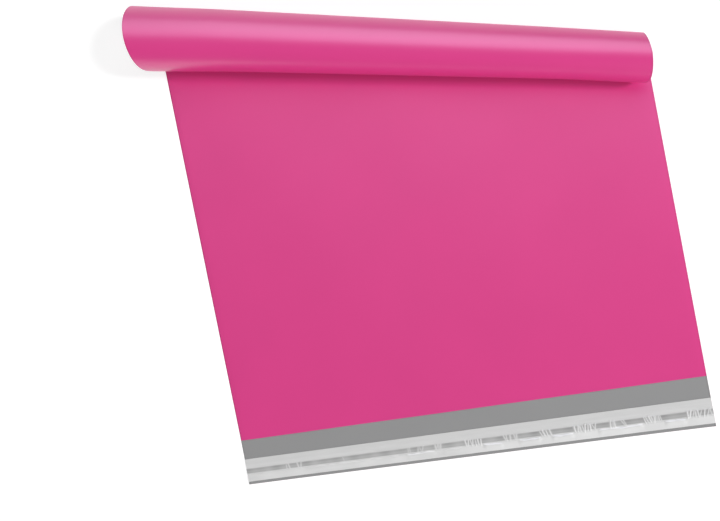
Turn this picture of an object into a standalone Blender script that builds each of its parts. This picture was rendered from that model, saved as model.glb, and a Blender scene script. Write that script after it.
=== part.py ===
"""A film mailing bag that lies flat, open end forward, with its closed end rolled up over its front panel.

The bag is one film: a back panel that runs on past the mouth as the flap, folded at the bottom
into the front panel and welded to it along both sides. The roll is askew, so the film goes round
once at the left side and nearly three times at the right. The flap's grey inner face carries a
strip of adhesive under its release liner.

Metres, +Z up. The origin is the middle of the bag's box on the surface that it lies on, the
flap's free edge is towards -Y and the roll towards +Y.
"""

import math

import bmesh
import bpy

# The flat bag
BAG_WIDTH = 0.368
POUCH_DEPTH = 0.483
FLAP_DEPTH = 0.037
FILM_THICKNESS = 0.00012
PLY_GAP = 0.0005
SEAM_INSET = 0.0008

# The roll: how far its axis is from the flap's free edge at each side, and its outer radius there
ROLL_REACH_LEFT = 0.372
ROLL_REACH_RIGHT = 0.268
ROLL_RADIUS_LEFT = 0.0247
ROLL_RADIUS_RIGHT = 0.0167
TURN_GAP = 0.0006

# The adhesive and its release liner, measured along the flap from its free edge
LINER_MARGIN = 0.0023
LINER_DEPTH = 0.0187
LINER_THICKNESS = 0.0001
ADHESIVE_MARGIN = 0.0089
ADHESIVE_DEPTH = 0.0043
ADHESIVE_THICKNESS = 0.00015
SEAT_GAP = 0.0003
LINER_STEP = 0.0009

# How finely the film is divided, with the steps per turn a multiple of four
STEPS_PER_TURN = 32
COLUMNS = 5
CLEAR_OF_CORNER = 0.4
HALVINGS = 40

# Worked out from the sizes above
POUCH_THICKNESS = 2 * FILM_THICKNESS + PLY_GAP
TURN_PITCH = POUCH_THICKNESS + TURN_GAP
FILM_LENGTH = FLAP_DEPTH + POUCH_DEPTH
HALF_WIDTH = BAG_WIDTH / 2
FURTHEST_SIDE = max(ROLL_REACH_LEFT + ROLL_RADIUS_LEFT, ROLL_REACH_RIGHT + ROLL_RADIUS_RIGHT)
BAG_REACH = FURTHEST_SIDE - TURN_PITCH / 4


def clear_scene():
    """Removes every object, so that the script can be run again."""
    for thing in list(bpy.data.objects):
        bpy.data.objects.remove(thing, do_unlink=True)


def make_collection(name):
    collection = bpy.data.collections.new(name)
    bpy.context.scene.collection.children.link(collection)
    return collection


def principled(name, color, roughness):
    """A plastic-like material of its own, with its colour given as linear values."""
    material = bpy.data.materials.new(name)
    material.use_nodes = True
    shader = material.node_tree.nodes["Principled BSDF"]
    shader.inputs["Base Color"].default_value = (*color, 1.0)
    shader.inputs["Roughness"].default_value = roughness
    shader.inputs["Metallic"].default_value = 0.0
    return material


def across(left, right, x):
    """The value at x of something that changes evenly from the left side to the right."""
    return left + (right - left) * (x / BAG_WIDTH + 0.5)


def axis_y(x):
    return across(ROLL_REACH_LEFT, ROLL_REACH_RIGHT, x)


def outer_radius(x):
    return across(ROLL_RADIUS_LEFT, ROLL_RADIUS_RIGHT, x)


def flat_point(x, y, depth):
    """A point of the flat part, that deep inside the bag's outer skin as seen from below."""
    return (x, y, depth)


def roll_point(x, angle, depth):
    """A point of the roll, at that angle round from where it leaves the surface."""
    radius = outer_radius(x) - TURN_PITCH * angle / math.tau - depth
    return (x, axis_y(x) + radius * math.sin(angle), outer_radius(x) - radius * math.cos(angle))


def fold_angle(x):
    """How far round the roll the bottom fold lies at x, where the film's length is used up.

    The film that goes round an angle a is R * a - pitch * a * a / (4 * pi) long, with R the radius
    of the pouch's middle where the roll starts.
    """
    radius = outer_radius(x) - POUCH_THICKNESS / 2
    length = FILM_LENGTH - axis_y(x)
    return (radius - math.sqrt(radius**2 - TURN_PITCH * length / math.pi)) * math.tau / TURN_PITCH


def row_span(angle):
    """The two values of x between which the film still reaches that angle."""
    left, right = -HALF_WIDTH, HALF_WIDTH
    if min(fold_angle(left), fold_angle(right)) >= angle:
        return left, right
    further = left if fold_angle(left) > fold_angle(right) else right
    reached, short = further, -further
    for _ in range(HALVINGS):
        middle = (reached + short) / 2
        if fold_angle(middle) >= angle:
            reached = middle
        else:
            short = middle
    return min(reached, further), max(reached, further)


def roll_angles():
    """The angles of the roll's rows: even steps, and the two corners of the bottom fold."""
    corners = sorted((fold_angle(-HALF_WIDTH), fold_angle(HALF_WIDTH)))
    step = math.tau / STEPS_PER_TURN
    even = [step * k for k in range(int(corners[1] / step) + 1)]
    apart = CLEAR_OF_CORNER * step
    clear = [a for a in even if all(abs(a - corner) > apart for corner in corners)]
    return sorted(clear + corners)


def row_places(span):
    """The values of x along one row: its two ends, a seam's width inside each, and evenly between."""
    start, end = span
    inset = min(SEAM_INSET, (end - start) / (COLUMNS + 1))
    inner_start, inner_end = start + inset, end - inset
    between = [inner_start + (inner_end - inner_start) * k / COLUMNS for k in range(COLUMNS + 1)]
    return [start, *between, end]


class FilmRow:
    """One row of the film's outer skin, from the left side to the right.

    Its two ends lie on a side weld or on the bottom fold, where the two panels share a vertex.
    """

    def __init__(self, mesh, place, span, has_front):
        places = row_places(span)
        self.back = [mesh.verts.new(place(x, 0.0)) for x in places]
        self.front = []
        if has_front:
            inner = [mesh.verts.new(place(x, POUCH_THICKNESS)) for x in places[1:-1]]
            self.front = [self.back[0], *inner, self.back[-1]]


def join_rows(mesh, first, second, facing_up):
    """Faces between two rows of one panel."""
    for k in range(len(first) - 1):
        corners = [first[k], first[k + 1], second[k + 1], second[k]]
        mesh.faces.new(corners if facing_up else reversed(corners))


def close_corner(mesh, row, corner, facing_up):
    """Faces from a panel's last row to the corner that it runs out in."""
    for k in range(len(row) - 1):
        corners = [row[k], row[k + 1], corner]
        mesh.faces.new(corners if facing_up else reversed(corners))


def make_film(collection, outer_face, inner_face):
    """The film as the surface of its outer skin, given its thickness inwards by Solidify."""
    mesh = bmesh.new()
    whole = (-HALF_WIDTH, HALF_WIDTH)
    rows = [
        FilmRow(mesh, lambda x, depth: flat_point(x, 0.0, depth), whole, False),
        FilmRow(mesh, lambda x, depth: flat_point(x, FLAP_DEPTH, depth), whole, True),
    ]
    *angles, last_angle = roll_angles()
    for angle in angles:
        rows.append(
            FilmRow(mesh, lambda x, depth: roll_point(x, angle, depth), row_span(angle), True)
        )
    for near, far in zip(rows, rows[1:]):
        join_rows(mesh, near.back, far.back, False)
        if near.front:
            join_rows(mesh, near.front, far.front, True)
    corner_x = max((-HALF_WIDTH, HALF_WIDTH), key=fold_angle)
    corner = mesh.verts.new(roll_point(corner_x, last_angle, 0.0))
    close_corner(mesh, rows[-1].back, corner, False)
    close_corner(mesh, rows[-1].front, corner, True)
    film = finish_mesh(mesh, "bag_film", collection)
    film.data.materials.append(outer_face)
    film.data.materials.append(inner_face)
    shell = film.modifiers.new("film_thickness", "SOLIDIFY")
    shell.thickness = FILM_THICKNESS
    shell.offset = -1
    shell.use_even_offset = True
    shell.material_offset = 1
    return film


def make_adhesive(collection, material):
    """The strip of adhesive, the full width of the flap."""
    mesh = bmesh.new()
    bmesh.ops.create_cube(mesh, size=1.0)
    bmesh.ops.scale(mesh, vec=(BAG_WIDTH, ADHESIVE_DEPTH, ADHESIVE_THICKNESS), verts=mesh.verts)
    strip = finish_mesh(mesh, "adhesive_strip", collection)
    strip.location.y += ADHESIVE_MARGIN + ADHESIVE_DEPTH / 2
    strip.location.z = FILM_THICKNESS + SEAT_GAP + ADHESIVE_THICKNESS / 2
    strip.data.materials.append(material)
    return strip


def make_liner(collection, material):
    """The release liner: a long section drawn across the bag, stepped up over the adhesive."""
    low = FILM_THICKNESS + SEAT_GAP
    high = low + ADHESIVE_THICKNESS + SEAT_GAP
    near = ADHESIVE_MARGIN - SEAT_GAP
    far = ADHESIVE_MARGIN + ADHESIVE_DEPTH + SEAT_GAP
    section = [
        (LINER_MARGIN, low),
        (near - LINER_STEP, low),
        (near, high),
        (far, high),
        (far + LINER_STEP, low),
        (LINER_MARGIN + LINER_DEPTH, low),
    ]
    mesh = bmesh.new()
    verts = [mesh.verts.new((-HALF_WIDTH, y, z)) for y, z in section]
    edges = [mesh.edges.new(pair) for pair in zip(verts, verts[1:])]
    made = bmesh.ops.extrude_edge_only(mesh, edges=edges)["geom"]
    moved = [item for item in made if isinstance(item, bmesh.types.BMVert)]
    bmesh.ops.translate(mesh, vec=(BAG_WIDTH, 0.0, 0.0), verts=moved)
    bmesh.ops.recalc_face_normals(mesh, faces=mesh.faces)
    if mesh.faces[0].normal.z < 0:
        bmesh.ops.reverse_faces(mesh, faces=mesh.faces)
    liner = finish_mesh(mesh, "release_liner", collection)
    shell = liner.modifiers.new("liner_thickness", "SOLIDIFY")
    shell.thickness = LINER_THICKNESS
    shell.offset = 1
    liner.data.materials.append(material)
    return liner


def finish_mesh(mesh, name, collection):
    """Makes the mesh an object, moved so that the origin is under the middle of the bag."""
    mesh.normal_update()
    data = bpy.data.meshes.new(name)
    mesh.to_mesh(data)
    mesh.free()
    thing = bpy.data.objects.new(name, data)
    thing.location.y = -BAG_REACH / 2
    collection.objects.link(thing)
    return thing


def main():
    clear_scene()
    collection = make_collection("poly_mailer_bag")
    pink = principled("pink_film_outside", (0.694, 0.070, 0.258), 0.38)
    grey = principled("grey_film_inside", (0.300, 0.300, 0.300), 0.45)
    glue = principled("clear_adhesive", (0.430, 0.430, 0.430), 0.25)
    paper = principled("release_liner_film", (0.597, 0.597, 0.597), 0.35)
    make_film(collection, pink, grey)
    make_adhesive(collection, glue)
    make_liner(collection, paper)


main()
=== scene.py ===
"""Dresses the film mailing bag: its film, the adhesive on its flap and the release liner.

The bag lies flat with its mouth and flap forward, and its closed end is rolled up askew over the
front panel. Metres, +Z up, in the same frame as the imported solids.
"""

from __future__ import annotations

import logging
import math
from dataclasses import dataclass, field
from enum import Enum

import bpy
import numpy as np
from bpy.types import Material, Node, NodeSocket, NodeTree, Object
from mathutils import Matrix, Quaternion, Vector


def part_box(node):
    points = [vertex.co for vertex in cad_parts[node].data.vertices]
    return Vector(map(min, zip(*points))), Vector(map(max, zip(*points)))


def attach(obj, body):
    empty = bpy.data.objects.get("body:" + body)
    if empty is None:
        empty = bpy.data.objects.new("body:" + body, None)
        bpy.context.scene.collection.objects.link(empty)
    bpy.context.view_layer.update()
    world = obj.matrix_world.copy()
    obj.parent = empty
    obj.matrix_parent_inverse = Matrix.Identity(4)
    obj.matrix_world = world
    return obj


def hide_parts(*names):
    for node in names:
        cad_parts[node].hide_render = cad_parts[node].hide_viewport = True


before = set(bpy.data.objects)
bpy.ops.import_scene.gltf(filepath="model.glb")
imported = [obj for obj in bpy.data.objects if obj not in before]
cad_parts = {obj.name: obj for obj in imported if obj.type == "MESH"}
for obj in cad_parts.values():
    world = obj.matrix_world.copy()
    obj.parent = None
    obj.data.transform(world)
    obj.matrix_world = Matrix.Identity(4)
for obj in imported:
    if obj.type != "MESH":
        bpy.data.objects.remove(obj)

log = logging.getLogger("mailer")

Array = np.ndarray
MM = 0.001
# Edges sharper than this are shaded as edges.
SHARP_FROM = math.radians(35)
# The gleam's tone, which in the photo is a little cooler than plain white.
COOL_WHITE = (0.74, 0.80, 1.0)
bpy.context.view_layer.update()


def linear(hex_colour: str) -> tuple[float, float, float, float]:
    """Turns an sRGB hex colour into linear values.

    Args:
        hex_colour: six hex digits, with or without a leading mark.

    Returns:
        Red, green, blue and an alpha of one.
    """
    digits = hex_colour.lstrip("#")
    values = [int(digits[i : i + 2], 16) / 255 for i in (0, 2, 4)]
    red, green, blue = (
        v / 12.92 if v <= 0.04045 else ((v + 0.055) / 1.055) ** 2.4 for v in values
    )
    return red, green, blue, 1.0


def set_inputs(node: Node, inputs: dict[str | int, object]) -> None:
    """Sets or links a node's inputs.

    Args:
        node: the node.
        inputs: input names or numbers, each with a value or with the output socket to link.
    """
    for name, value in inputs.items():
        if isinstance(value, NodeSocket):
            node.id_data.links.new(value, node.inputs[name])
        else:
            node.inputs[name].default_value = value


def add_node(
    tree: NodeTree,
    kind: str,
    settings: dict[str, object] | None = None,
    inputs: dict[str | int, object] | None = None,
) -> Node:
    """Adds a node, sets its properties, and sets or links its inputs.

    Args:
        tree: the node tree that the node goes into.
        kind: the node's type name.
        settings: property names and their values.
        inputs: input names or numbers, each with a value or with the output socket to link.

    Returns:
        The new node.
    """
    node = tree.nodes.new(kind)
    for name, value in (settings or {}).items():
        setattr(node, name, value)
    set_inputs(node, inputs or {})
    return node


def start_material(name: str) -> tuple[Material, NodeTree, NodeSocket]:
    """Starts a material.

    Args:
        name: the material's name.

    Returns:
        The material, its node tree, and the socket that gives the place on the object.
    """
    material = bpy.data.materials.new(name)
    material.use_nodes = True
    tree = material.node_tree
    return material, tree, add_node(tree, "ShaderNodeTexCoord").outputs["Object"]


def noise(tree: NodeTree, place: NodeSocket, size_mm: float, detail: float) -> NodeSocket:
    """Adds noise.

    Args:
        tree: the node tree that the node goes into.
        place: the socket that gives the place.
        size_mm: about how wide its spots are.
        detail: how many finer layers it has.

    Returns:
        The socket that gives it, from 0 to 1.
    """
    inputs = {"Vector": place, "Scale": 1 / (size_mm * MM), "Detail": detail}
    return add_node(tree, "ShaderNodeTexNoise", inputs=inputs).outputs["Fac"]


def blend(tree: NodeTree, share: NodeSocket, first: object, second: object) -> NodeSocket:
    """Adds a mix of two colours.

    Args:
        tree: the node tree that the node goes into.
        share: the socket that gives the second colour's share.
        first: the first colour, or its socket.
        second: the second colour, or its socket.

    Returns:
        The mixed colour's socket.
    """
    inputs = {"Factor": share, 6: first, 7: second}
    return add_node(tree, "ShaderNodeMix", {"data_type": "RGBA"}, inputs).outputs[2]


def eased(
    tree: NodeTree,
    value: NodeSocket,
    between: tuple[float, float],
    result: tuple[float, float],
) -> NodeSocket:
    """Adds a smooth change with a value.

    Args:
        tree: the node tree that the node goes into.
        value: the socket that gives the value.
        between: the values at which the change starts and ends.
        result: what it gives before its start and past its end.

    Returns:
        The result's socket.
    """
    inputs = dict(zip(("From Min", "From Max", "To Min", "To Max"), (*between, *result)))
    settings = {"interpolation_type": "SMOOTHSTEP"}
    return add_node(tree, "ShaderNodeMapRange", settings, {"Value": value, **inputs}).outputs[0]


def relieve(
    tree: NodeTree,
    height: NodeSocket,
    strength: float,
    distance_mm: float,
    under: NodeSocket | None = None,
) -> NodeSocket:
    """Adds a fine relief.

    Args:
        tree: the node tree that the node goes into.
        height: the socket that gives the relief's height, from 0 to 1.
        strength: how strong it shows.
        distance_mm: how high it stands.
        under: the socket of a relief that it lies on.

    Returns:
        The relief's socket, for a shader's normal.
    """
    inputs = {"Strength": strength, "Distance": distance_mm * MM, "Height": height}
    if under is not None:
        inputs["Normal"] = under
    return add_node(tree, "ShaderNodeBump", inputs=inputs).outputs[0]


def smooth_step(t: Array) -> Array:
    """Rises from 0 at t = 0 to 1 at t = 1 as 3 t squared less 2 t cubed, and is level outside.

    Args:
        t: any array.

    Returns:
        An array of the same shape.
    """
    t = np.clip(t, 0.0, 1.0)
    return t * t * (3 - 2 * t)


def bump(t: Array, centre: float | Array, width: float | Array) -> Array:
    """A bell curve of height 1: the exponential of minus the square of (t - centre) / width."""
    return np.exp(-(((t - centre) / width) ** 2))


def wave(x: Array, length_mm: float, phase: float | Array = 0.0) -> Array:
    """A sine wave of height 1 over x, that many millimetres long."""
    return np.sin(math.tau * x / (length_mm * MM) + phase)


class Face(Enum):
    """Which way a panel's faces look: a back panel's look down, a front panel's look up."""

    DOWN = -1
    UP = 1


@dataclass
class SurfaceMesh:
    """Collects grids of points as one mesh."""

    points: list[Array] = field(default_factory=list)
    faces: list[list[int]] = field(default_factory=list)
    count: int = 0

    def add_points(self, points: Array) -> Array:
        """Adds points and gives their numbers.

        Args:
            points: an array whose last axis is x, y, z.

        Returns:
            The points' numbers, in the array's own shape.
        """
        flat = points.reshape(-1, 3)
        self.points.append(flat)
        numbers = self.count + np.arange(len(flat))
        self.count += len(flat)
        return numbers.reshape(points.shape[:-1])

    def add_grid(self, numbers: Array, face: Face) -> None:
        """Adds the quads of a grid of point numbers.

        Args:
            numbers: rows and columns of point numbers.
            face: which way the quads look.
        """
        near, far = numbers[:-1], numbers[1:]
        quads = np.stack([near[:, :-1], near[:, 1:], far[:, 1:], far[:, :-1]], -1).reshape(-1, 4)
        self.faces += (quads if face is Face.UP else quads[:, ::-1]).tolist()

    def add_fan(self, row: Array, corner: int, face: Face) -> None:
        """Adds the triangles from a row of points to one corner.

        Args:
            row: the row's point numbers.
            corner: the corner's point number.
            face: which way the triangles look.
        """
        fan = np.stack([row[:-1], row[1:], np.full(len(row) - 1, corner)], -1)
        self.faces += (fan if face is Face.UP else fan[:, ::-1]).tolist()

    def to_object(self, name: str) -> Object:
        """Makes the collected surface an object at the origin.

        Args:
            name: the object's name.

        Returns:
            The object.
        """
        mesh = bpy.data.meshes.new(name)
        mesh.from_pydata(np.concatenate(self.points).tolist(), [], self.faces)
        mesh.update()
        thing = bpy.data.objects.new(name, mesh)
        bpy.context.scene.collection.objects.link(thing)
        return thing


def sheet(name: str, x: Array, y: Array, z: Array) -> Object:
    """Makes an object of one grid of points that looks up.

    Args:
        name: the object's name.
        x: places across the bag, as x, y and z of any shapes that make rows and columns.
        y: places along the bag.
        z: heights.

    Returns:
        The object.
    """
    surface = SurfaceMesh()
    points = np.stack(np.broadcast_arrays(x, y, z), -1)
    surface.add_grid(surface.add_points(points), Face.UP)
    return surface.to_object(name)


def thicken(thing: Object, thickness: float, offset: int, inner_slot: int = 0) -> None:
    """Gives a surface its wall, applies it, and shades it smooth but for its edges.

    Args:
        thing: the surface's object.
        thickness: the wall in metres.
        offset: 1 to grow the wall outwards, -1 inwards.
        inner_slot: how many material slots on the wall's other face is.
    """
    wall = thing.modifiers.new("wall", "SOLIDIFY")
    wall.thickness = thickness
    wall.offset = offset
    wall.use_even_offset = True
    wall.material_offset = inner_slot
    evaluated = thing.evaluated_get(bpy.context.evaluated_depsgraph_get())
    solid = bpy.data.meshes.new_from_object(evaluated)
    thing.modifiers.clear()
    thing.data = solid
    solid.shade_smooth()
    solid.set_sharp_from_angle(angle=SHARP_FROM)


@dataclass(frozen=True)
class RolledBag:
    """The bag's own shape: a flat pouch of film whose closed end is rolled up askew.

    The roll's section is the same curve at every x, with its axis and its radius changing evenly
    from the left side to the right. It is a spiral that comes in by one pitch a turn, as in the
    solids. The film is thinner and the two panels lie closer than there, where they can't touch.

    The section departs from round by shares of the radius. Slump leans the roll forward, sag
    fills out its lower front and fill its back, the last two each about one angle round the roll.
    """

    width: float
    flap_edge_y: float
    pouch_depth: float = 483 * MM
    flap_depth: float = 37 * MM
    film: float = 0.064 * MM
    ply_gap: float = 0.232 * MM
    pitch: float = 1.34 * MM
    reach: tuple[float, float] = (372 * MM, 268 * MM)
    radius: tuple[float, float] = (24.7 * MM, 16.7 * MM)
    slump: float = 0.05
    slump_balance: float = 0.6
    sag: float = 0.13
    sag_at: float = math.radians(306)
    sag_width: float = math.radians(24)
    fill: float = 0.055
    fill_at: float = math.radians(100)
    fill_width: float = math.radians(40)
    lift: float = 0.25 * MM
    corner_lift: float = 0.9 * MM

    @property
    def half(self) -> float:
        """Half of the bag's width."""
        return self.width / 2

    @property
    def thickness(self) -> float:
        """The pouch's whole thickness, both panels and the air between."""
        return 2 * self.film + self.ply_gap

    @property
    def mouth_y(self) -> float:
        """The mouth's place along y."""
        return self.flap_edge_y + self.flap_depth

    def across(self, ends: tuple[float, float], x: Array) -> Array:
        """The value at x of what changes evenly from the left end to the right."""
        return ends[0] + (ends[1] - ends[0]) * (x / self.width + 0.5)

    def axis_y(self, x: Array) -> Array:
        """The place along y of the roll's axis, and of the line where the film leaves the table."""
        return self.flap_edge_y + self.across(self.reach, x)

    def fold_angle(self, x: Array) -> Array:
        """The angle round the roll at which the film ends in the bottom fold.

        The film round an angle a is R a - pitch a squared / 4 pi long, and what is left of the
        bag's length is wound up so.
        """
        radius = self.across(self.radius, x) - self.thickness / 2
        left = self.flap_depth + self.pouch_depth - self.across(self.reach, x)
        root = np.sqrt(radius**2 - self.pitch * left / math.pi)
        return (radius - root) * math.tau / self.pitch

    def rolled(self, x: Array, angle: Array, depth: Array) -> Array:
        """Points of the roll.

        At an angle a from the table the radius is R less pitch a / 2 pi less the depth inside the
        outer skin; y is the axis plus radius sin a, and z is R less radius cos a. Before that R is
        swelled by a share of itself: slump (1 - cos a) (balance - sin a), and a bell curve of the
        angle each for the sag and the fill.

        Args:
            x: places across the bag.
            angle: angles round the roll.
            depth: how far inside the outer skin the points lie.

        Returns:
            Points, with x, y and z on the last axis.
        """
        outer = self.across(self.radius, x)
        turned = np.mod(angle, math.tau)
        swell = self.slump * (1 - np.cos(angle)) * (self.slump_balance - np.sin(angle))
        swell = swell + self.sag * bump(turned, self.sag_at, self.sag_width)
        swell = swell + self.fill * bump(turned, self.fill_at, self.fill_width)
        radius = outer * (1 + swell) - self.pitch * angle / math.tau - depth
        y = self.axis_y(x) + radius * np.sin(angle)
        z = outer - radius * np.cos(angle)
        return np.stack(np.broadcast_arrays(x, y, z), -1)

    def flap_lift(self, x: Array, y: Array) -> Array:
        """How far the flap stands off the table: film springs up a little at its two free corners.

        It is the lift times the square of how near the free edge is, more towards each side.

        Args:
            x: places across the bag.
            y: places along the bag.

        Returns:
            Heights in metres.
        """
        near_edge = np.clip((self.mouth_y - y) / self.flap_depth, 0.0, 1.0)
        near_side = np.abs(x / self.half) ** 6
        return near_edge**2 * (self.lift + self.corner_lift * near_side)


@dataclass(frozen=True)
class CoextrudedFilm:
    """Co-extruded low-density polyethylene, blown as one film with a pink and a grey layer.

    Blown film has a satin face: a soft, wide highlight, with a fine haze of gel specks and very
    faint lines along the way it was drawn. Lengths are in millimetres.
    """

    name: str
    hex_colour: str
    roughness: float
    gleam: float = 0.5
    haze_mm: float = 0.7
    draw_line_mm: float = 3.0
    weld_mm: float = 1.6
    cloud_mm: float = 60.0
    cloud_share: float = 0.035
    weld_share: float = 0.6
    weld_cover: float = 0.3

    def shade(self, share: float) -> tuple[float, ...]:
        """The film's colour with that share of its light, and an alpha of one."""
        return tuple(min(1.0, value * share) for value in linear(self.hex_colour)[:3]) + (1.0,)

    def make(self) -> Material:
        """Builds the film's material.

        Returns:
            The material.
        """
        material, tree, place = start_material(self.name)
        # The pigment lies a little unevenly, in wide clouds.
        clouds = noise(tree, place, self.cloud_mm, 2.0)
        pale, deep = self.shade(1 + self.cloud_share), self.shade(1 - self.cloud_share)
        clouded = blend(tree, clouds, deep, pale)
        # The weld at each side is a melted bead, a shade deeper than the open film. The film
        # carries its distance from the nearer side in millimetres.
        side = add_node(tree, "ShaderNodeAttribute", {"attribute_name": "side_mm"}).outputs["Fac"]
        weld = eased(tree, side, (0.4 * self.weld_mm, self.weld_mm), (self.weld_cover, 0.0))
        welded = blend(tree, weld, clouded, self.shade(self.weld_share))
        # Haze: gel specks under a millimetre, drawn as coarse as the render can show.
        grain = relieve(tree, noise(tree, place, self.haze_mm, 3.0), 0.08, 0.02)
        # Draw lines run along the film as it came off the die, from the flap to the fold.
        stretch = add_node(
            tree, "ShaderNodeMapping", inputs={"Vector": place, "Scale": (1.0, 0.02, 0.02)}
        ).outputs[0]
        lines = noise(tree, stretch, self.draw_line_mm, 2.0)
        finish = {
            "Base Color": welded,
            "Normal": relieve(tree, lines, 0.10, 0.05, grain),
            "Roughness": self.roughness,
            "IOR": 1.51,
            # Matched to the photo: the pink face mirrors more than its index alone gives.
            "Specular IOR Level": self.gleam,
        }
        set_inputs(tree.nodes["Principled BSDF"], finish)
        return material


@dataclass(frozen=True)
class LinerFilm:
    """Release liner: siliconed polyethylene film, milky and glossy, crinkled where it was pressed.

    Over the adhesive it is wet through and shows darker. Towards its free edge it is paler, and
    painted highlights run along the foot of each puff and on the crinkles' crests. The piece
    carries both as attributes, 0 to 1 at every point.
    """

    name: str = "siliconed_liner_film"
    hex_colour: str = "#DEDEDE"
    hex_in_clouds: str = "#D0D0D0"
    hex_over_adhesive: str = "#9C9C9C"
    # Paler colour near the liner's edge, and the colour of its painted highlights.
    hex_pale_and_glint: str = "#FBFBFB"
    streak_mm: float = 2.5
    roughness: float = 0.2
    skin: float = 0.45

    def make(self) -> Material:
        """Builds the liner's material.

        Returns:
            The material.
        """
        material, tree, place = start_material(self.name)
        wet, pale_and_glint = (
            add_node(tree, "ShaderNodeAttribute", {"attribute_name": name}).outputs["Fac"]
            for name in ("wet_through", "pale_and_painted_glint")
        )
        # Milky streaks along the bag, drawn out as the film was.
        streaks = add_node(
            tree, "ShaderNodeMapping", inputs={"Vector": place, "Scale": (0.12, 1.0, 1.0)}
        ).outputs[0]
        cloud = noise(tree, streaks, self.streak_mm, 2.0)
        milky = blend(tree, cloud, linear(self.hex_in_clouds), linear(self.hex_colour))
        colour = blend(tree, wet, milky, linear(self.hex_over_adhesive))
        # Paler towards the edge, with painted highlights along the puffs' feet and on the crinkles'
        # crests.
        pale = blend(tree, pale_and_glint, colour, linear(self.hex_pale_and_glint))
        finish = {
            "Base Color": pale,
            "Normal": relieve(tree, cloud, 0.12, 0.05),
            "Roughness": self.roughness,
            "IOR": 1.5,
            # The silicone is a second clear face over the film's own, and both gleam.
            "Coat Weight": self.skin,
            "Coat Roughness": self.roughness,
        }
        set_inputs(tree.nodes["Principled BSDF"], finish)
        return material


@dataclass(frozen=True)
class HotMelt:
    """Pressure-sensitive hot melt: a clear, tacky bead, greyed by the film under it."""

    name: str = "hot_melt_adhesive"
    hex_colour: str = "#9D9C97"
    hex_in_ripples: str = "#8F8E89"
    ripple_mm: float = 1.5
    roughness: float = 0.18

    def make(self) -> Material:
        """Builds the adhesive's material, with short ripples from the nozzle.

        Returns:
            The material.
        """
        material, tree, place = start_material(self.name)
        ripple = noise(tree, place, self.ripple_mm, 1.0)
        colour = blend(tree, ripple, linear(self.hex_in_ripples), linear(self.hex_colour))
        finish = {
            "Base Color": colour,
            "Normal": relieve(tree, ripple, 0.4, 0.1),
            "Roughness": self.roughness,
            "IOR": 1.48,
        }
        set_inputs(tree.nodes["Principled BSDF"], finish)
        return material


@dataclass(frozen=True)
class RollEnds:
    """How far the roll's two open ends stand out of flush, as those of film wound askew do.

    Lengths are in millimetres, and what creeps does so by its length for each radian wound.
    """

    left_bulge: float = 3.0
    left_creep: float = 0.75
    right_bulge: float = 3.1
    right_bulge_from: float = math.radians(188)
    right_set_back: float = 1.3
    right_creep: float = 1.8
    right_late_creep: float = 0.5
    right_begun: float = math.radians(90)
    late_share: float = 0.35
    fade: float = 70.0

    def shift(self, half: float, x: Array, angle: Array) -> Array:
        """How far each point of the roll is shifted along x.

        Each end bulges outwards towards the top of a turn. The left end bulges by the square of
        the sine of half the angle, the right end by the cosine of the angle from its own start
        on, less a set-back. Both creep to the left as they wind, the right end from the top of
        the first turn on, and slower after it. The shift fades out before each end.

        Args:
            half: half of the bag's width.
            x: places across the bag.
            angle: angles round the roll.

        Returns:
            Shifts along x in metres.
        """
        near_end = smooth_step((np.abs(x) - half + self.fade * MM) / (self.fade * MM))
        late = self.late_share * np.maximum(angle - math.tau, 0.0)
        left = -self.left_bulge * np.sin(angle / 2) ** 2
        left = left - self.left_creep * (np.minimum(angle, math.tau) + late)
        wound = np.clip(angle - math.pi, 0.0, math.pi)
        right = self.right_bulge * np.cos(angle - self.right_bulge_from) - self.right_set_back
        right = right - self.right_creep * wound - self.right_late_creep * late
        begun = smooth_step(angle / self.right_begun)
        return near_end * np.where(x < 0, left, begun * right) * MM


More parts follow.
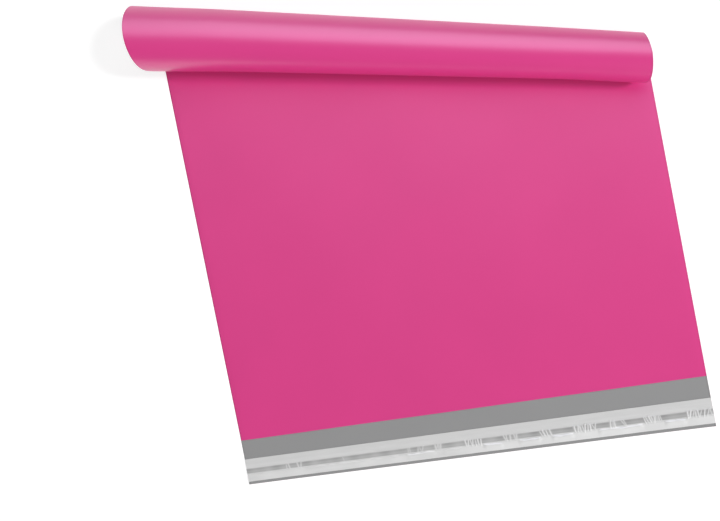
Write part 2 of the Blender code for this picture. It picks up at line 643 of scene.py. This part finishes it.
@dataclass
class BagFilm:
    """The bag's one film: back panel and flap, bottom fold, and front panel welded at the sides."""

    bag: RolledBag
    outside: CoextrudedFilm
    inside: CoextrudedFilm
    ends: RollEnds = field(default_factory=RollEnds)
    steps_per_turn: int = 72
    columns: int = 44
    flap_rows: int = 10
    panel_rows: int = 44
    seam: float = 5.5 * MM
    seam_steps_mm: tuple[float, ...] = (0.0, 0.15, 0.4, 0.8, 1.4, 2.2, 3.2, 4.3, 5.5)
    lip_share: float = 0.33
    lip_end: float = 0.073
    ripple_height: float = 0.10 * MM
    ripple_fade: float = 20 * MM
    ripple_clear: float = 40 * MM

    def columns_of(self, start: Array, end: Array) -> Array:
        """Places across each row, close together near its two ends.

        Near an end they lie at fixed distances from it, where the front panel comes down to the
        weld, and evenly between. A short row draws them all together.

        Args:
            start: each row's left end.
            end: each row's right end.

        Returns:
            Rows and columns of x.
        """
        near = np.array(self.seam_steps_mm) * MM
        span = (end - start)[:, None]
        squeeze = np.minimum(1.0, span / (4 * near[-1]))
        left = near[None] * squeeze
        middle = np.linspace(0, 1, self.columns + 1)[None, 1:-1]
        inner = left[:, -1:] + (span - 2 * left[:, -1:]) * middle
        return start[:, None] + np.concatenate([left, inner, span - left[:, ::-1]], 1)

    def depth_at(self, x: Array, full: float) -> Array:
        """How far the front panel lies inside the outer skin.

        It is 0 on the weld at each end of a row. A quick lip brings it to a third of the full
        depth, and the rest eases up as one less the square of what is left of the seam's width.

        Args:
            x: rows and columns of x.
            full: the pouch's thickness.

        Returns:
            Rows and columns of depth.
        """
        from_end = np.minimum(x - x[:, :1], x[:, -1:] - x)
        narrow = np.minimum(1.0, (x[:, -1:] - x[:, :1]) / (4 * self.seam))
        t = np.clip(from_end / np.maximum(self.seam * narrow, 1e-9), 0.0, 1.0)
        lip = np.clip(t / self.lip_end, 0.0, 1.0)
        return full * (self.lip_share * lip + (1 - self.lip_share) * (1 - (1 - t) ** 2))

    def ripple(self, x: Array, y: Array) -> Array:
        """How far the front panel stands up in slow waves, as film that was wound does.

        It is the sum of two sine waves at a slant, 110 and 63 mm long, fading out at the sides.

        Args:
            x: places across the bag.
            y: places along the bag.

        Returns:
            Heights in metres.
        """
        long, short = wave(0.9 * x + 0.4 * y, 110), wave(0.5 * x - 0.8 * y, 63, 1.3)
        fade = smooth_step((self.bag.half - np.abs(x)) / self.ripple_fade)
        return fade * self.ripple_height * (long + 0.5 * short)

    def roll_sheet(self, x: Array, angle: Array, depth: Array) -> Array:
        """The roll's points, with its ends out of flush.

        Args:
            x: places across the bag.
            angle: angles round the roll.
            depth: how far inside the outer skin the points lie.

        Returns:
            Points, with x, y and z on the last axis.
        """
        points = self.bag.rolled(x, angle, depth)
        points[..., 0] += self.ends.shift(self.bag.half, x, angle)
        return points

    def build(self) -> Object:
        """Builds the film and dresses it.

        Returns:
            The film's object, which stands for the solid bag_film.
        """
        bag = self.bag
        flap_y = np.linspace(bag.flap_edge_y, bag.mouth_y, self.flap_rows + 1)
        shares = np.linspace(0, 1, self.panel_rows + 1)[1:]
        rows = self.flap_rows + 1 + self.panel_rows
        ends = np.full(rows, bag.half)
        x = self.columns_of(-ends, ends)
        reach = bag.axis_y(x[:1])
        y = np.concatenate(
            [flap_y[:, None] + 0 * x[:1], bag.mouth_y + shares[:, None] * (reach - bag.mouth_y)]
        )
        angles, start = self.roll_rows()
        roll_x = self.columns_of(start, np.full(len(start), bag.half))
        mouth = self.flap_rows
        back = np.concatenate(
            [
                np.stack([x, y, bag.flap_lift(x, y)], -1),
                self.roll_sheet(roll_x, angles[:, None], np.zeros_like(roll_x)),
            ]
        )
        flat_x, flat_y = x[mouth:], y[mouth:]
        depth = self.depth_at(flat_x, bag.thickness)
        steady = smooth_step((reach - flat_y) / self.ripple_clear)
        depth = depth + self.ripple(flat_x, flat_y) * steady
        front = np.concatenate(
            [
                np.stack([flat_x, flat_y, depth], -1),
                self.roll_sheet(roll_x, angles[:, None], self.depth_at(roll_x, bag.thickness)),
            ]
        )
        surface = SurfaceMesh()
        back_numbers = surface.add_points(back)
        inner = surface.add_points(front[:, 1:-1])
        front_numbers = np.concatenate(
            [back_numbers[mouth:, :1], inner, back_numbers[mouth:, -1:]], axis=1
        )
        last = bag.fold_angle(np.array([bag.half]))
        corner = surface.add_points(self.roll_sheet(np.array([bag.half]), last, np.zeros(1)))[0]
        surface.add_grid(back_numbers, Face.DOWN)
        surface.add_grid(front_numbers, Face.UP)
        surface.add_fan(back_numbers[-1], corner, Face.DOWN)
        surface.add_fan(front_numbers[-1], corner, Face.UP)
        film = surface.to_object("mailer_film")
        unshifted = np.concatenate([x, roll_x])
        flat = [unshifted.ravel(), unshifted[mouth:, 1:-1].ravel(), np.array([bag.half])]
        side_mm = (bag.half - np.abs(np.concatenate(flat))) / MM
        layer = film.data.attributes.new("side_mm", "FLOAT", "POINT")
        layer.data.foreach_set("value", side_mm.astype(np.float32))
        film.data.materials.append(self.outside.make())
        film.data.materials.append(self.inside.make())
        thicken(film, bag.film, -1, inner_slot=1)
        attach(film, "root")
        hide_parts("bag_film")
        return film

    def roll_rows(self) -> tuple[Array, Array]:
        """The roll's rows, each at one angle.

        Up to the angle at which the film ends at the left side, a row goes the whole way across.
        Past it a row starts on the bottom fold, where the fold's angle is the row's own.

        Returns:
            The angles, and each row's left end.
        """
        bag = self.bag
        x = np.linspace(-bag.half, bag.half, 4001)
        fold = bag.fold_angle(x)
        step = math.tau / self.steps_per_turn
        first = np.linspace(0, fold[0], int(fold[0] / step) + 1)[1:]
        second = np.linspace(fold[0], fold[-1], int((fold[-1] - fold[0]) / step) + 1)[1:-1]
        angles = np.concatenate([first, second])
        return angles, np.interp(angles, fold, x)


@dataclass(frozen=True)
class Crinkle:
    """A group of short crinkles across the liner's adhesive band.

    The place is a share of the bag's width from its left side, sizes are in millimetres, and
    height and cover run from 0 to 1.
    """

    place: float
    width_mm: float
    spacing_mm: float
    height: float
    cover: float = 1.0


@dataclass(frozen=True)
class Puff:
    """A stretch along which the liner stands puffed up beside the adhesive, between two shares."""

    start: float
    end: float
    height: float


@dataclass
class ReleaseLiner:
    """The peel-off strip: stuck down along the adhesive, puffed up beside it and crinkled.

    Places along the flap are measured from the middle of the adhesive. A pair is the least and
    the most of what varies from crinkle to crinkle or along the bag.
    """

    bag: RolledBag
    finish: LinerFilm = field(default_factory=LinerFilm)
    margin: float = 2.3 * MM
    depth: float = 18.7 * MM
    thickness: float = 0.1 * MM
    glue_margin: float = 8.9 * MM
    glue_depth: float = 4.3 * MM
    rows: int = 56
    fine: float = 0.30 * MM
    coarse: float = 1.4 * MM
    puff_height: float = 0.62 * MM
    puff_foot: float = 2.5 * MM
    puff_rise: float = 1.5 * MM
    puff_width: float = 6.4 * MM
    puff_fall: float = 5.0 * MM
    puff_least: float = 0.12
    puff_ends: float = 3.5 * MM
    far_height: float = 0.16 * MM
    far_place: float = 5.4 * MM
    far_width: float = 2.4 * MM
    # Where the painted highlight along each puff's foot lies, and how wide it is.
    glint_line_place: float = -3.3 * MM
    glint_line_width_mm: tuple[float, float] = (0.30, 0.65)
    pale_from: float = 2.6 * MM
    pale_share: float = 0.18
    pale_more_right: float = 0.16
    wet_reach: float = 2.25 * MM
    wet_fade: float = 0.8 * MM
    thin_share: float = 0.24
    thin_place: float = -0.55 * MM
    thin_width: float = 0.9 * MM
    seat_gap: float = 0.06 * MM
    glue_step: float = 0.14 * MM
    ridge_height: float = 0.42 * MM
    ridge_lean: tuple[float, float] = (-0.1, 0.3)
    ridge_tilt: float = 0.35
    ridge_jitter: float = 0.22
    ridge_width_mm: tuple[float, float] = (0.28, 0.62)
    ridge_share: tuple[float, float] = (0.35, 1.0)
    ridge_low_mm: tuple[float, float] = (-4.2, -3.0)
    ridge_high_mm: tuple[float, float] = (2.2, 3.4)
    ridge_ease: float = 1.2 * MM
    # How much of a crinkle's height shows as a painted highlight on its crest.
    crest_glint_share: float = 0.4
    groups: tuple[Crinkle, ...] = (
        Crinkle(0.101, 6, 2.6, 0.6, 0.8),
        Crinkle(0.128, 5, 2.0, 0.6, 0.7),
        Crinkle(0.230, 6, 5.0, 0.2, 0.5),
        Crinkle(0.380, 3, 1.6, 0.4, 0.4),
        Crinkle(0.405, 5, 1.8, 0.5, 0.4),
        Crinkle(0.444, 5, 1.3, 0.3, 1.0),
        Crinkle(0.520, 15, 2.1, 1.0, 1.0),
        Crinkle(0.592, 7, 2.2, 0.7, 0.9),
        Crinkle(0.609, 2, 1.2, 0.5, 0.8),
        Crinkle(0.670, 8, 2.2, 0.9, 0.9),
        Crinkle(0.752, 17, 1.9, 1.0, 1.0),
        Crinkle(0.806, 4, 1.5, 0.8, 0.7),
        Crinkle(0.829, 4, 1.8, 0.7, 0.6),
        Crinkle(0.878, 8, 1.7, 0.9, 1.0),
        Crinkle(0.896, 5, 1.2, 0.4, 1.0),
        Crinkle(0.966, 13, 1.9, 1.0, 1.0),
        Crinkle(0.992, 3, 1.6, 0.7, 0.7),
    )
    puffs: tuple[Puff, ...] = (
        Puff(0.03, 0.09, 0.25),
        Puff(0.14, 0.36, 0.35),
        Puff(0.37, 0.44, 0.6),
        Puff(0.45, 0.50, 0.4),
        Puff(0.538, 0.584, 1.0),
        Puff(0.612, 0.664, 0.9),
        Puff(0.680, 0.730, 1.0),
        Puff(0.774, 0.868, 0.85),
        Puff(0.904, 0.950, 1.0),
    )

    def x_at(self, share: float) -> float:
        """The place across the bag at that share of its width from the left side."""
        return (share - 0.5) * self.bag.width

    def stations(self) -> Array:
        """Places across the bag, fine within each group of crinkles and coarse between.

        Returns:
            The places as x, in order.
        """
        x = np.linspace(-self.bag.half, self.bag.half, 6001)
        near = np.zeros_like(x)
        for group in self.groups:
            near = np.maximum(near, bump(x, self.x_at(group.place), group.width_mm * MM * 0.75))
        density = 1 / self.coarse + (1 / self.fine - 1 / self.coarse) * near
        steps = np.concatenate([[0.0], np.cumsum((density[1:] + density[:-1]) / 2 * np.diff(x))])
        return np.interp(np.linspace(0, steps[-1], int(steps[-1]) + 1), steps, x)

    def crinkles(self, x: Array, v: Array) -> tuple[Array, Array]:
        """The crinkles' height, and how far they lift the liner off the adhesive.

        Each crinkle is a narrow ridge that leans a little, so its middle is at x plus a share of
        v, where v is the distance along the flap from the adhesive band's middle. The ridges of a
        group differ in height, lean and spacing.

        Args:
            x: places across the bag.
            v: places along the flap from the middle of the adhesive.

        Returns:
            Heights in metres, and shares from 0 to 1.
        """
        rng = np.random.default_rng(11)
        height = np.zeros(np.broadcast(x, v).shape)
        cover = np.zeros_like(height)
        for group in self.groups:
            count = max(1, round(group.width_mm / group.spacing_mm))
            lean = rng.uniform(*self.ridge_lean)
            for k in range(count):
                jitter = rng.uniform(-self.ridge_jitter, self.ridge_jitter) * group.spacing_mm
                offset = (k + 0.5) * group.spacing_mm - group.width_mm / 2 + jitter
                middle = self.x_at(group.place) + offset * MM
                tilt = lean + rng.uniform(-self.ridge_tilt, self.ridge_tilt)
                width = rng.uniform(*self.ridge_width_mm) * MM
                tall = group.height * rng.uniform(*self.ridge_share)
                low = rng.uniform(*self.ridge_low_mm) * MM
                high = rng.uniform(*self.ridge_high_mm) * MM
                reach = smooth_step((v - low) / self.ridge_ease)
                reach = reach * smooth_step((high - v) / self.ridge_ease)
                height = np.maximum(height, tall * reach * bump(x + tilt * v, middle, width))
                pale = bump(x + tilt * v, middle, 1.35 * width)
                cover = np.maximum(cover, group.cover * reach * pale)
        return height * self.ridge_height, cover

    def along_puffs(self, x: Array) -> Array:
        """How far the liner is puffed up along the bag.

        Args:
            x: places across the bag.

        Returns:
            Shares from 0 to 1.
        """
        along = np.zeros_like(x)
        for puff in self.puffs:
            start, end = self.x_at(puff.start), self.x_at(puff.end)
            risen = smooth_step((x - start) / self.puff_ends)
            fallen = smooth_step((end - x) / self.puff_ends)
            along = np.maximum(along, puff.height * risen * fallen)
        return along

    def wander(self, x: Array) -> Array:
        """How far the puffs' foot wanders towards the free edge, by two sine waves."""
        return 0.25 * MM * wave(x, 23) + 0.15 * MM * wave(x, 9)

    def puffed(self, x: Array, v: Array) -> Array:
        """How far the liner stands off beside the adhesive.

        On the near side it rises steeply from the adhesive's edge to a crest and falls off
        slowly to the liner's edge. On the far side it swells gently. Both wander a little along
        the bag, and the near side stands up only along the puffs.

        Args:
            x: places across the bag.
            v: places along the flap from the middle of the adhesive.

        Returns:
            Heights in metres.
        """
        along = self.puff_least + (1 - self.puff_least) * self.along_puffs(x)
        t = -v - self.puff_foot - self.wander(x)
        near = smooth_step(t / self.puff_rise) * smooth_step((self.puff_width - t) / self.puff_fall)
        far = bump(v, self.far_place, self.far_width) * (0.75 + 0.25 * wave(x, 47, 0.8))
        return along * near * self.puff_height + self.far_height * far

    def pale_and_painted_glint(self, x: Array, v: Array, tall: Array) -> Array:
        """How pale the liner is painted, 0 to 1, painted highlights included.

        It is a painted highlight, a thin bright line along the foot of each puff whose width swells
        and thins along the bag; a paler field from there to the near edge; and painted highlights
        on the crinkles' crests. Two sine waves vary the field slowly, and it grows a little paler
        to the right.

        Args:
            x: places across the bag.
            v: places along the flap from the middle of the adhesive.
            tall: the crinkles' height as a share of the highest.

        Returns:
            Shares from 0 to 1.
        """
        along = self.along_puffs(x)
        beat = 0.5 + 0.5 * wave(x, 14, 2.0 * wave(x, 37))
        thin, wide = self.glint_line_width_mm
        width = (thin + (wide - thin) * beat) * MM
        # A painted highlight along the foot of each puff.
        line = smooth_step(1.6 * along) * bump(v, self.glint_line_place - self.wander(x), width)
        slow = 0.06 * wave(x, 83) + 0.05 * wave(x, 29)
        right = self.pale_more_right * smooth_step((x + 40 * MM) / (120 * MM))
        near = smooth_step((-v - self.pale_from) / MM) * (self.pale_share + right + slow)
        # The crinkles' crests get a painted highlight.
        return np.clip(np.maximum(np.maximum(line, near), self.crest_glint_share * tall), 0.0, 1.0)

    def wet_through(self, x: Array, v: Array, cover: Array) -> Array:
        """How dark the adhesive shows through the liner, 0 to 1.

        It is full over the adhesive but for a thinner place on the near side of its middle. Two
        sine waves make it come and go along the bag, and it is lifted where a crinkle covers it.

        Args:
            x: places across the bag.
            v: places along the flap from the middle of the adhesive.
            cover: how far the crinkles lift the liner off the adhesive.

        Returns:
            Shares from 0 to 1.
        """
        band = smooth_step((self.wet_reach - np.abs(v)) / self.wet_fade)
        middle = 1 - self.thin_share * bump(v, self.thin_place, self.thin_width)
        slow = 0.5 + 0.5 * wave(x, 61, 2.1) * wave(x, 17)
        strength = 0.62 + 0.30 * slow + 0.08 * smooth_step(x / (60 * MM))
        return band * middle * strength * (1 - cover)

    def build(self) -> Object:
        """Builds the liner and dresses it.

        Returns:
            The liner's object, which stands for the solid release_liner.
        """
        bag = self.bag
        x = self.stations()[None, :]
        y = bag.flap_edge_y + self.margin + np.linspace(0, self.depth, self.rows + 1)[:, None]
        v = y - (bag.flap_edge_y + self.glue_margin + self.glue_depth / 2)
        tall, cover = self.crinkles(x, v)
        over_glue = smooth_step((0.5 * self.glue_depth + 0.6 * MM - np.abs(v)) / (1.0 * MM))
        seat = bag.film + self.seat_gap + self.glue_step * over_glue
        z = seat + self.puffed(x, v) + tall + bag.flap_lift(x, y)
        liner = sheet("liner_strip", x, y, z)
        shares = {
            "wet_through": self.wet_through(x, v, cover),
            # How pale the liner is painted, with its painted highlights.
            "pale_and_painted_glint": self.pale_and_painted_glint(x, v, tall / self.ridge_height),
        }
        for name, share in shares.items():
            layer = liner.data.attributes.new(name, "FLOAT", "POINT")
            layer.data.foreach_set("value", share.astype(np.float32).ravel())
        liner.data.materials.append(self.finish.make())
        thicken(liner, self.thickness, 1)
        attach(liner, "root")
        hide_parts("release_liner")
        return liner


@dataclass
class AdhesiveStrip:
    """The bead of hot melt under the liner, the full width of the flap."""

    bag: RolledBag
    finish: HotMelt = field(default_factory=HotMelt)
    margin: float = 8.9 * MM
    depth: float = 4.3 * MM
    height: float = 0.05 * MM
    wall: float = 0.06 * MM
    seat_gap: float = 0.02 * MM
    columns: int = 240
    rows: int = 12

    def build(self) -> Object:
        """Builds the bead and dresses it.

        Its section is a flat-topped bead: the height times one less the fourth power of how far
        out the point is, swelling a little along the bag.

        Returns:
            The bead's object, which stands for the solid adhesive_strip.
        """
        bag = self.bag
        x = np.linspace(-bag.half, bag.half, self.columns + 1)[None, :]
        t = np.linspace(-1, 1, self.rows + 1)[:, None]
        y = bag.flap_edge_y + self.margin + (t + 1) / 2 * self.depth
        swell = 1 + 0.12 * wave(x, 7) * wave(x, 31)
        z = bag.film + self.seat_gap + self.height * (1 - t**4) * swell + bag.flap_lift(x, y)
        bead = sheet("adhesive_bead", x, y, z)
        bead.data.materials.append(self.finish.make())
        thicken(bead, self.wall, 1)
        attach(bead, "root")
        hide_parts("adhesive_strip")
        return bead


class Gives(Enum):
    """What a lamp gives: light alone, or, as a white card does, a gleam alone."""

    LIGHT = 0
    GLEAM = 1


@dataclass(frozen=True)
class Softbox:
    """One soft rectangular lamp: its name, place, aim, size and power, and what it gives."""

    name: str
    place: Vector
    target: Vector
    size: tuple[float, float]
    watts: float
    gives: Gives = Gives.LIGHT
    shades: bool = True
    tint: tuple[float, float, float] = (1.0, 1.0, 1.0)

    def hang(self, along: Vector) -> None:
        """Hangs the lamp, unseen by the camera.

        Args:
            along: the direction that its long side comes as near to as it can.
        """
        data = bpy.data.lights.new(self.name, "AREA")
        data.shape = "RECTANGLE"
        data.size, data.size_y = self.size
        data.energy = self.watts
        data.color = self.tint
        data.use_shadow = self.shades
        thing = bpy.data.objects.new(self.name, data)
        back = (self.place - self.target).normalized()
        right = (along - along.dot(back) * back).normalized()
        turn = Matrix((right, back.cross(right), back)).transposed()
        thing.rotation_mode = "QUATERNION"
        thing.rotation_quaternion = turn.to_quaternion()
        thing.location = self.place
        thing.visible_camera = False
        thing.visible_diffuse = self.gives is Gives.LIGHT
        thing.visible_glossy = self.gives is Gives.GLEAM
        bpy.context.scene.collection.objects.link(thing)


@dataclass
class Studio:
    """The pale floor, the soft light and the camera."""

    bag: RolledBag
    floor_size: float = 60.0
    floor_glow: float = 0.66
    floor_shade: float = 0.5
    floor_evens_out: tuple[float, float] = (0.8, 3.0)
    dome: float = 0.12
    lit_x: float = -60 * MM
    camera_place: tuple[float, float, float] = (0.1343, -0.0108, 0.6819)
    camera_target: tuple[float, float, float] = (-0.0534, -0.0328, 0.0)
    camera_turn: float = -1.8799
    lens_mm: float = 45.0

    def floor_material(self) -> Material:
        """Matt white, lifted to plain white where the camera, a gloss or a glass looks at it.

        Two thirds of what those see near the bag is its own light, so that the bag's shadow
        stays, but faint.

        Returns:
            The material.
        """
        material, tree, place = start_material("matt_white_floor")
        matt = tree.nodes["Principled BSDF"]
        white = (0.86, 0.86, 0.86, 1.0)
        set_inputs(matt, {"Base Color": white, "Roughness": 0.95, "Specular IOR Level": 0.0})
        rays = add_node(tree, "ShaderNodeLightPath")
        seen = rays.outputs["Is Camera Ray"]
        for ray in ("Is Glossy Ray", "Is Transmission Ray"):
            seen = add_node(
                tree, "ShaderNodeMath", {"operation": "MAXIMUM"}, {0: seen, 1: rays.outputs[ray]}
            ).outputs[0]
        # Far from the bag, where no lamp reaches, the floor is white by its own light alone.
        away = add_node(tree, "ShaderNodeVectorMath", {"operation": "LENGTH"}, {0: place})
        distance = away.outputs["Value"]
        strength = eased(tree, distance, self.floor_evens_out, (self.floor_glow, 1.0))
        shaded = eased(tree, distance, self.floor_evens_out, (self.floor_shade, 0.0))
        shade = add_node(tree, "ShaderNodeBsdfDiffuse", inputs={"Color": shaded})
        glow = add_node(tree, "ShaderNodeEmission", inputs={"Strength": strength})
        both = {0: shade.outputs[0], 1: glow.outputs[0]}
        lifted = add_node(tree, "ShaderNodeAddShader", inputs=both).outputs[0]
        choice = {0: seen, 1: matt.outputs[0], 2: lifted}
        mixed = add_node(tree, "ShaderNodeMixShader", inputs=choice).outputs[0]
        tree.links.new(mixed, tree.nodes["Material Output"].inputs["Surface"])
        return material

    def floor(self) -> None:
        """Lays the floor a hair under the bag."""
        edges = np.array([-0.5, 0.5]) * self.floor_size
        thing = sheet("studio_floor", edges[None, :], edges[:, None], np.array(-0.05 * MM))
        thing.data.materials.append(self.floor_material())

    def roll_middle(self) -> Vector:
        """The point of the roll's axis over which the lamps hang."""
        x = np.array(self.lit_x)
        return Vector((x, self.bag.axis_y(x), self.bag.across(self.bag.radius, x)))

    def over_roll(self, side: float, lean: float, distance: float) -> Vector:
        """A place over the roll's middle.

        Args:
            side: how far to the right of straight up it is along the roll, in degrees.
            lean: how far behind straight up it is across the roll, in degrees.
            distance: its distance in metres.

        Returns:
            The place.
        """
        along = self.along_roll()
        across = Vector((-along.y, along.x, 0.0))
        side, lean = math.radians(side), math.radians(lean)
        upright = math.sin(lean) * across + math.cos(lean) * Vector((0.0, 0.0, 1.0))
        return self.roll_middle() + distance * (math.sin(side) * along + math.cos(side) * upright)

    def along_roll(self) -> Vector:
        """The direction of the roll's axis over the table, from left to right."""
        left, right = self.bag.reach
        return Vector((self.bag.width, right - left, 0.0)).normalized()

    def world(self) -> None:
        """Makes the even dome: plain white to the camera, and a soft fill to the bag.

        It is white to the camera alone, because in every gloss it would haze the satin film.
        """
        world = bpy.data.worlds.new("studio")
        world.use_nodes = True
        tree = world.node_tree
        seen = add_node(tree, "ShaderNodeLightPath").outputs["Is Camera Ray"]
        inputs = {"Factor": seen, 2: self.dome, 3: 1.0}
        strength = add_node(tree, "ShaderNodeMix", inputs=inputs).outputs[0]
        white = (1.0, 1.0, 1.0, 1.0)
        set_inputs(tree.nodes["Background"], {"Color": white, "Strength": strength})
        bpy.context.scene.world = world

    def light(self) -> None:
        """Lights the bag.

        A small key from the right, high over the roll's back, draws the narrow shadow under the
        roll. A fill from the front and one from the back, which casts no shadow, even out the
        light with the dome. A card over the back of the roll gives the gleam along it and lights
        nothing else.
        """
        self.world()
        bag, roll = Vector((0.0, 0.0, 0.0)), self.roll_middle()
        softboxes = (
            Softbox("key", self.over_roll(50, 10, 9.0), bag, (1.4, 1.4), 490.0),
            Softbox("front_fill", self.over_roll(30, -56, 5.0), bag, (2.6, 2.6), 146.0),
            Softbox("back_fill", self.over_roll(0, 50, 2.7), roll, (3.3, 2.8), 27.0, shades=False),
            Softbox(
                "back_card",
                self.over_roll(-5, 41, 2.7),
                roll,
                (2.9, 3.0),
                78.0,
                Gives.GLEAM,
                tint=COOL_WHITE,
            ),
        )
        for softbox in softboxes:
            softbox.hang(self.along_roll())

    def camera(self) -> None:
        """Sets the camera over the bag's right half, turned as the photograph was taken."""
        data = bpy.data.cameras.new("camera")
        data.lens = self.lens_mm
        data.clip_start = 0.01
        thing = bpy.data.objects.new("camera", data)
        place = Vector(self.camera_place)
        aim = (Vector(self.camera_target) - place).to_track_quat("-Z", "Y")
        turn = Quaternion((0.0, 0.0, 1.0), self.camera_turn)
        thing.rotation_mode = "QUATERNION"
        thing.rotation_quaternion = aim @ turn
        thing.location = place
        bpy.context.scene.collection.objects.link(thing)
        bpy.context.scene.camera = thing

    def build(self) -> None:
        """Builds the floor, the lights and the camera."""
        self.floor()
        self.light()
        self.camera()


def main() -> None:
    """Builds the bag's pieces in order, then the studio."""
    logging.basicConfig(level=logging.INFO, format="%(message)s")
    low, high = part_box("bag_film")
    bag = RolledBag(width=high[0] - low[0], flap_edge_y=low[1])
    pink = CoextrudedFilm("pink_coextruded_film", "#E03F8B", 0.37, gleam=1.0)
    grey = CoextrudedFilm("grey_coextruded_film", "#959595", 0.45)
    for piece in (BagFilm(bag, pink, grey), AdhesiveStrip(bag), ReleaseLiner(bag)):
        made = piece.build()
        log.info("%s: %d faces", made.name, len(made.data.polygons))
    bpy.context.scene.view_settings.view_transform = "Standard"
    Studio(bag).build()


if __name__ == "__main__":
    main()
